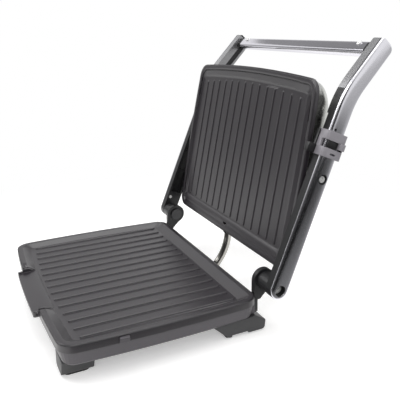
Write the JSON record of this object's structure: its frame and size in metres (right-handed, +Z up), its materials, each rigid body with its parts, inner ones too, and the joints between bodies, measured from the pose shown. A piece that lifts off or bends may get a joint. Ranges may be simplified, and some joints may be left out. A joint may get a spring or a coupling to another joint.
{
  "type": "contact grill",
  "caption": "Open contact grill with a ribbed base plate, a floating upper plate between two cranked metal arms, a crossbar handle, a sliding lid clip and a bent wiring conduit.",
  "frame": {"origin": "on the table, under the middle of the space that the open grill takes up", "axes": "+X to the user's right, +Y to the back where the hinge is, +Z up"},
  "size_m": [0.336, 0.3719, 0.3196],
  "materials": {
    "grill_plate": "cast aluminium under a dark satin non-stick coating",
    "housing_plastic": "dark grey moulded plastic with a fine grain",
    "black_sheet": "black painted sheet",
    "foot_plastic": "black moulded plastic",
    "pad_rubber": "soft black rubber",
    "black_plastic": "black glass-filled plastic, satin",
    "polished_steel": "polished steel",
    "arm_metal": "bright satin steel",
    "channel_metal": "satin grey metal",
    "bar_chrome": "polished chrome",
    "dome_steel": "brushed steel",
    "clip_plastic": "grey satin plastic",
    "element_steel": "sheathed heating element, dull steel",
    "tin_sheet": "bright pressed sheet",
    "thermostat_ceramic": "ceramic body",
    "screw_steel": "bright plated steel"
  },
  "bodies": {
    "base": {"base_housing": "housing_plastic", "bottom_cover": "black_sheet", "bottom_screws": "screw_steel", "lower_plate": "grill_plate", "plate_screws": "screw_steel", "lower_heater": "element_steel", "lower_reflector": "tin_sheet", "lower_thermostat": "thermostat_ceramic", "front_feet": "foot_plastic", "rear_feet": "foot_plastic", "foot_pads": "pad_rubber", "hinge_bracket_right": "black_plastic", "hinge_bracket_left": "black_plastic", "bracket_screws": "screw_steel", "hinge_pins": "polished_steel", "hinge_washers": "screw_steel", "hinge_screws": "screw_steel", "latch_lug": "housing_plastic", "cord_gland": "black_plastic", "conduit_gland": "black_plastic", "conduit": "polished_steel"},
    "arms": {"arm_cover_right": "arm_metal", "arm_cover_left": "arm_metal", "arm_core_right": "black_plastic", "arm_core_left": "black_plastic", "arm_channel_right": "channel_metal", "arm_channel_left": "channel_metal", "arm_end_caps": "black_plastic", "hinge_barrels": "black_plastic", "crossbar": "bar_chrome", "crossbar_bosses": "black_plastic", "crossbar_screws": "screw_steel", "arm_screws": "screw_steel"},
    "upper_plate": {"upper_plate": "grill_plate", "lid_cover": "dome_steel", "lid_screws": "screw_steel", "upper_heater": "element_steel", "upper_reflector": "tin_sheet", "upper_thermostat": "thermostat_ceramic", "pivot_brackets": "tin_sheet", "pivot_screws": "screw_steel", "lid_gland": "black_plastic"},
    "clip": {"lid_clip": "clip_plastic", "clip_button": "black_plastic", "clip_hook": "black_plastic"}
  },
  "joints": [
    {"name": "lid_hinge", "type": "hinge", "parent": "base", "child": "arms", "pos_m": [-0.00282, 0.04984, 0.0575], "axis": [1, 0, 0], "range_deg": [0, 111.4], "deforming": ["conduit"]},
    {"name": "plate_tilt", "type": "hinge", "parent": "arms", "child": "upper_plate", "pos_m": [-0.00282, 0.10014, 0.17345], "axis": [1, 0, 0], "range_deg": [-10.65, 0]},
    {"name": "clip_slide", "type": "slide", "parent": "arms", "child": "clip", "axis": [0, 0.3798, 0.9251], "range_m": [0, 0.01]}
  ],
  "couplings": [
    {"joint": "plate_tilt", "follows": "lid_hinge", "ratio": -0.095153}
  ]
}
